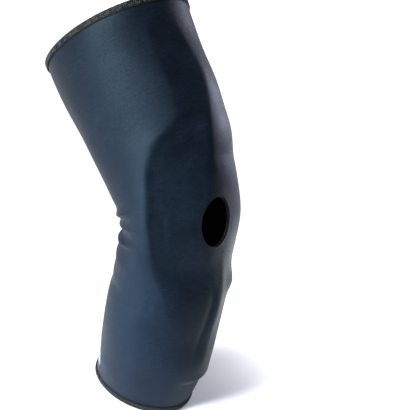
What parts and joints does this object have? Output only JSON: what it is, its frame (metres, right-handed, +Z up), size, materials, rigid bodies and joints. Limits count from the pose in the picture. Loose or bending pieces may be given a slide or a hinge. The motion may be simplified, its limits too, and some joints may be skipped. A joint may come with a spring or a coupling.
{
  "type": "knee brace",
  "caption": "Pull-on knee support sleeve of laminated elastic fabric, bent as worn, with an oval kneecap opening and taped, zigzag-stitched hems.",
  "frame": {"origin": "under the middle of the sleeve's box, on the surface that it stands on", "axes": "+Z up along the calf, -Y out of the front of the knee, X across the knee along its hinge, with the transfer patch on the -X side"},
  "size_m": [0.1382, 0.2546, 0.3836],
  "materials": {
    "face_fabric": "dark navy nylon knit with a satin sheen",
    "foam": "black closed-cell foam rubber",
    "lining": "matt brushed black knit",
    "binding_tape": "brown-black elastic tape",
    "thread": "dark grey bulked nylon thread",
    "seam_tape": "matt black woven tape",
    "transfer_film": "plain pale grey film, satin",
    "label_satin": "blank off-white woven satin"
  },
  "bodies": {
    "calf_section": {"calf_face_fabric": "face_fabric", "calf_foam_core": "foam", "calf_lining": "lining", "calf_hem_binding": "binding_tape", "calf_hem_stitching": "thread", "calf_back_seam_stitching": "thread", "calf_back_seam_tape": "seam_tape", "calf_transfer_patch": "transfer_film"},
    "thigh_section": {"thigh_face_fabric": "face_fabric", "thigh_foam_core": "foam", "thigh_lining": "lining", "thigh_hem_binding": "binding_tape", "thigh_hem_stitching": "thread", "thigh_back_seam_stitching": "thread", "thigh_back_seam_tape": "seam_tape", "care_label": "label_satin", "care_label_stitching": "thread"},
    "knee_section": {"knee_face_fabric": "face_fabric", "knee_foam_core": "foam", "knee_lining": "lining", "knee_back_seam_stitching": "thread", "knee_back_seam_tape": "seam_tape"}
  },
  "joints": [
    {"name": "knee_flexion", "type": "hinge", "parent": "calf_section", "child": "thigh_section", "pos_m": [0, -0.0629, 0.1931], "axis": [-1, 0, 0], "range_deg": [-46.4, 63.6], "stiffness_Nm_per_rad": 1.2},
    {"name": "knee_follow", "type": "hinge", "parent": "calf_section", "child": "knee_section", "pos_m": [0, -0.0629, 0.1931], "axis": [-1, 0, 0], "range_deg": [-23.2, 31.8], "deforming": ["knee_face_fabric", "knee_foam_core", "knee_lining", "knee_back_seam_stitching", "knee_back_seam_tape"]}
  ],
  "couplings": [
    {"joint": "knee_follow", "follows": "knee_flexion", "ratio": 0.5}
  ]
}
